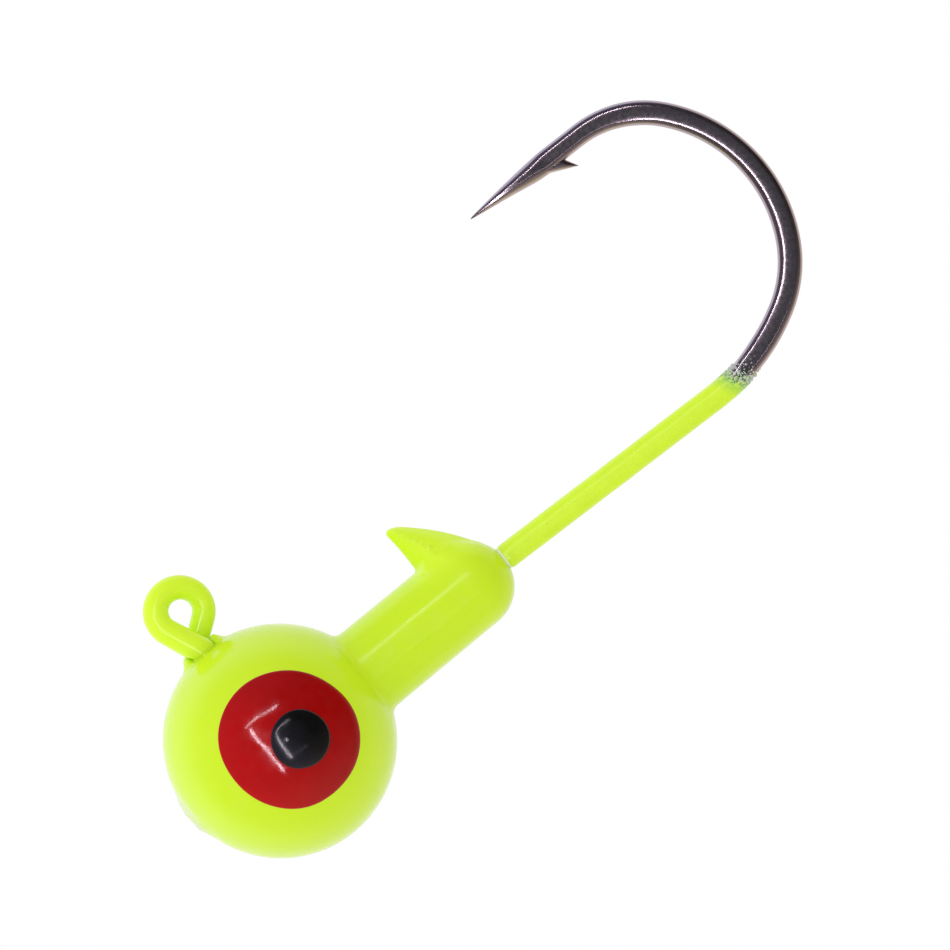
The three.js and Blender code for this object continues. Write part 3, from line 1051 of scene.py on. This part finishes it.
def add_lights():
    """Thin bright strips round the light box's opening."""
    away = 0.5
    left, over, under = (math.radians(a) for a in (13.4, 31, 24))
    at = (-away * math.tan(left), -away, 0.0)
    add_panel("strip_left", at, (STRIP, 0.5), 0.64)
    at = (0.024, -away, away * math.tan(over))
    add_panel("strip_top", at, (0.38, STRIP), 0.27)
    at = (0.06, -away, -away * math.tan(under))
    add_panel("strip_bottom", at, (0.24, STRIP), 0.02)


# What the gloss sees in each direction: to the sides, and further round towards the back.
SIDES = (
    ("X", -1, (0.19, 0.13, 0.135), (0.95, 0.90, 1.02)),
    ("X", 1, (0.036, 0.029, 0.025), (0.80, 0.66, 0.56)),
    ("Z", 1, (0.13, 0.12, 0.17), (0.95, 0.94, 1.18)),
    ("Z", -1, (0.46, 0.39, 0.34), (1.05, 0.86, 0.66)),
)
BEHIND = (1.0, 1.0, 1.0)
FRONT = (0.07, 0.07, 0.082)
# Between these Y the view goes from the front to the sides, and on to the white at the back.
SIDE_Y = (-0.98, -0.7)
BACK_Y = (-0.15, 0.4)
# Soft light from all round, and how much it changes along X, Y and Z.
AMBIENT = 1.0
AMBIENT_SLANT = (-0.28, -0.05, 0.05)


def add_world():
    """White behind the object. Its gloss sees a dim room in front and the white round the back."""
    world = bpy.data.worlds.new("light_box")
    bpy.context.scene.world = world
    world.use_nodes = True
    g = Graph(world.node_tree)
    split = g.node("ShaderNodeSeparateXYZ")
    g.put(g.node("ShaderNodeTexCoord").outputs["Generated"], split.inputs[0])
    far = g.math("MAXIMUM", split.outputs["Y"], 0.0)
    near, back = (0, 0, 0), g.mix(g.math("POWER", far, 2.0), (0, 0, 0), BEHIND)
    for letter, sign, side_tone, back_tone in SIDES:
        towards = g.math("MAXIMUM", g.math("MULTIPLY", split.outputs[letter], sign), 0.0)
        share = g.math("POWER", towards, 2.0)
        near = g.mix(1.0, near, g.mix(share, (0, 0, 0), side_tone), "ADD")
        back = g.mix(1.0, back, g.mix(share, (0, 0, 0), back_tone), "ADD")
    room = g.mix(g.ranged(split.outputs["Y"], *SIDE_Y), FRONT, near)
    colour = g.mix(g.ranged(split.outputs["Y"], *BACK_Y), room, back)
    level = AMBIENT
    for letter, slant in zip("XYZ", AMBIENT_SLANT):
        level = g.math("ADD", g.math("MULTIPLY", split.outputs[letter], slant), level)
    path = g.node("ShaderNodeLightPath")
    gloss, soft, white = (g.node("ShaderNodeBackground") for _ in range(3))
    g.put(colour, gloss.inputs["Color"])
    g.put(level, soft.inputs["Strength"])
    first, second = g.node("ShaderNodeMixShader"), g.node("ShaderNodeMixShader")
    g.put(path.outputs["Is Glossy Ray"], first.inputs[0])
    g.put(soft.outputs[0], first.inputs[1])
    g.put(gloss.outputs[0], first.inputs[2])
    g.put(path.outputs["Is Camera Ray"], second.inputs[0])
    g.put(first.outputs[0], second.inputs[1])
    g.put(white.outputs[0], second.inputs[2])
    for plain in (soft, white):
        plain.inputs["Color"].default_value = (1, 1, 1, 1)
    out = g.node("ShaderNodeOutputWorld")
    g.put(second.outputs[0], out.inputs["Surface"])


def add_floor():
    """A pale table some way below the hanging jig."""
    drop, reach = 0.045, 0.065
    turn = np.linspace(0, 2 * math.pi, 96, endpoint=False)
    height = CAD_BOX[0].z - drop + BALL_R * MM
    middle = (CAD_BOX[0] + CAD_BOX[1]) / 2
    rim = [(middle.x + reach * math.cos(a), reach * math.sin(a), height) for a in turn]
    floor = mesh_object("floor", rim, [tuple(range(len(rim)))], smooth=False)
    floor.data.materials.append(floor_white())
    floor.visible_glossy = False


# ---------------------------------------------------------------- assembly


def fit(piece, node, material):
    """Puts a finished piece in the place of its CAD node."""
    piece.data.materials.clear()
    piece.data.materials.append(material)
    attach(piece, "root")
    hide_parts(node)


# A speck of dust under each pupil's gloss: across, up, height and size.
NIBS = {"left": (-0.42, 0.38, 0.022, 0.15), "right": (0.3, -0.2, 0.012, 0.16)}
IRIS_SWING = 0.014
PUPIL_SWING = 0.003
IRIS_WOBBLE = ((2, 0.019, 1.92), (3, 0.007, 0.6), (4, 0.005, 2.2), (7, 0.002, 1.0))
PUPIL_WOBBLE = ((2, 0.012, 0.4), (3, 0.006, 2.0), (5, 0.004, 0.9))


def add_eyes():
    red = enamel("red_enamel", RED_LIT, RED_SHADED, (-3.2, 3.4), (0.08, 0.14))
    black = enamel("black_enamel", BLACK_PAINTED_SHEEN, BLACK_SHADED, (-0.4, 1.6), (0.12, 0.18))
    for place, side, seed in (("left", -1, 11), ("right", 1, 23)):
        iris = make_dot(
            f"iris_dot_{place}", IRIS_AIM, side, IRIS_R, BALL_R, IRIS_THICK,
            BALL_R, IRIS_WOBBLE, IRIS_SWING, seed,
        )
        fit(iris, f"iris_{place}", red)
        pupil = make_dot(
            f"pupil_dot_{place}", PUPIL_AIM, side, PUPIL_R, BALL_R + IRIS_THICK, PUPIL_THICK,
            PUPIL_DOME_R, PUPIL_WOBBLE, PUPIL_SWING, seed + 5, NIBS[place],
        )
        fit(pupil, f"pupil_{place}", black)


def main():
    scene = bpy.context.scene
    scene.view_settings.view_transform = "Standard"
    make_camera()
    fit(make_head_paint(), "head_coat", chartreuse_paint("head_chartreuse"))
    fit(make_shank_paint(), "shank_coat", shank_film())
    fit(make_hook(), "hook", black_nickel())
    add_eyes()
    fit(make_head_core(), "head_casting", cast_lead())
    add_lights()
    add_world()
    add_floor()


main()
